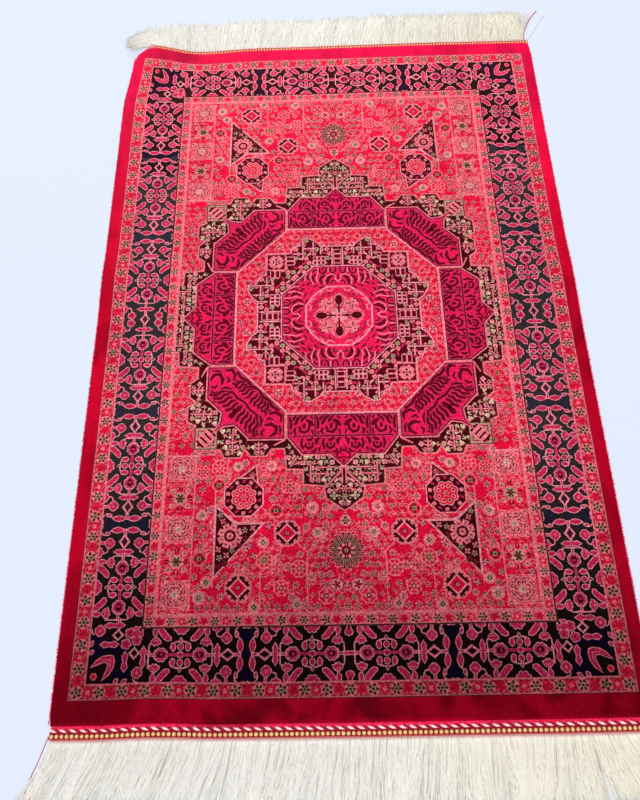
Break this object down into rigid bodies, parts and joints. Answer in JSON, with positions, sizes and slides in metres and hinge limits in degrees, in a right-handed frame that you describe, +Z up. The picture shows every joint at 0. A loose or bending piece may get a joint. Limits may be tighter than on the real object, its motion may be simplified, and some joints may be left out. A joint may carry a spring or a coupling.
{
  "type": "machine-made rug",
  "caption": "Rectangular machine-woven pile rug with a star medallion on a red ground, a dark flowered border and fringed ends; it lies flat on a floor.",
  "frame": {"origin": "on the flat underside, below the middle of the star medallion", "axes": "+X across the rug, +Y along it from the near end with the plied cord to the far end, +Z up out of the pile"},
  "size_m": [0.8722, 1.4267, 0.018],
  "materials": {
    "pile": "short silky pile in crimson, salmon pink, olive beige and blue-black",
    "plied_cord": "twisted crimson and white plies",
    "beaded_braid": "gold yarn beads between dark red yarns",
    "fringe_yarn": "silky cream twisted yarn",
    "red_thread": "fine orange-red sewing yarn"
  },
  "bodies": {
    "root": {"pile_cloth": "pile", "near_plied_cord": "plied_cord", "near_beaded_braid": "beaded_braid", "far_beaded_braid": "beaded_braid", "near_fringe": "fringe_yarn", "far_fringe": "fringe_yarn", "near_left_thread_outer": "red_thread", "near_left_thread_inner": "red_thread", "far_right_red_yarn": "red_thread", "far_right_cream_yarn": "fringe_yarn"}
  },
  "joints": []
}
